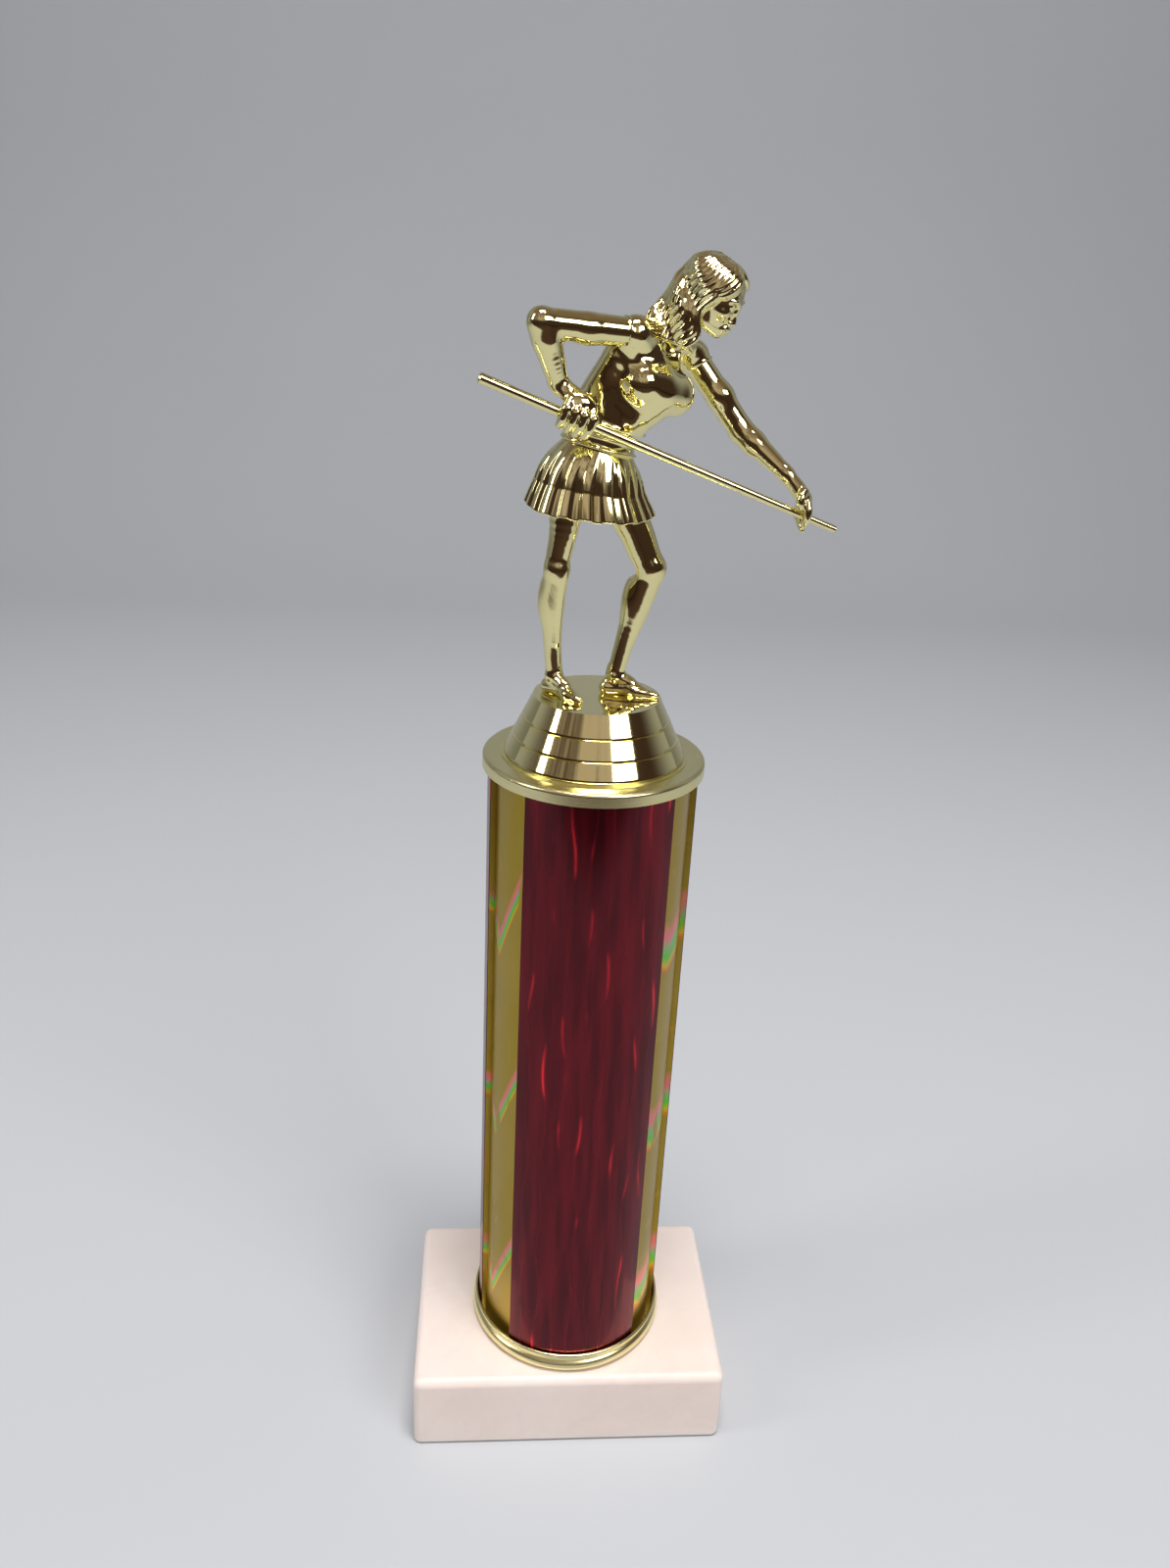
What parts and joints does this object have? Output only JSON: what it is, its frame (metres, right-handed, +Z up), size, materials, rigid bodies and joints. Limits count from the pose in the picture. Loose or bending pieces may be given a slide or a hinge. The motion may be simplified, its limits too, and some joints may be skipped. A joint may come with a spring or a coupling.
{
  "type": "billiards column trophy",
  "caption": "Column trophy: marble block, grooved column in red and gold film, metal cup and cap, and a gold pool-player figure on a stepped pedestal that turns on the rod.",
  "frame": {"origin": "the middle of the felt's underside, on the column's axis, on the surface that the trophy stands on", "axes": "+Z up along the column, +X to the right along the base's long side, +Y to the back; the front faces -Y"},
  "size_m": [0.0939, 0.0586, 0.3078],
  "materials": {
    "felt": "pressed wool felt",
    "marble": "opaque polished white marble with faint veins",
    "zinc_steel": "bright zinc plating",
    "gold_trim": "pale gold anodised, satin",
    "column_plastic": "extruded polystyrene",
    "red_film": "glossy metallised red film with a long diamond pattern",
    "gold_film": "metallised gold film with a prismatic pattern",
    "brass": "turned",
    "gold_plating": "vacuum-metallised mirror gold on moulded plastic"
  },
  "bodies": {
    "stand": {"base_felt": "felt", "marble_base": "marble", "base_washer": "zinc_steel", "base_lock_washer": "zinc_steel", "base_nut": "zinc_steel", "threaded_rod": "zinc_steel", "column_cup": "gold_trim", "column_core": "column_plastic", "red_film_front": "red_film", "red_film_left": "red_film", "red_film_right": "red_film", "gold_film_left": "gold_film", "gold_film_right": "gold_film", "gold_film_rear": "gold_film", "column_cap": "gold_trim", "cap_washer": "zinc_steel", "cap_nut": "zinc_steel"},
    "figure": {"figure_pedestal": "gold_plating", "pedestal_insert": "brass", "figure_body": "gold_plating", "figure_right_arm": "gold_plating", "figure_left_arm": "gold_plating", "cue_stick": "gold_plating"}
  },
  "joints": [
    {"name": "figure_turn", "type": "hinge", "parent": "stand", "child": "figure", "pos_m": [0, 0, 0.2], "axis": [0, 0, 1], "continuous": true}
  ]
}
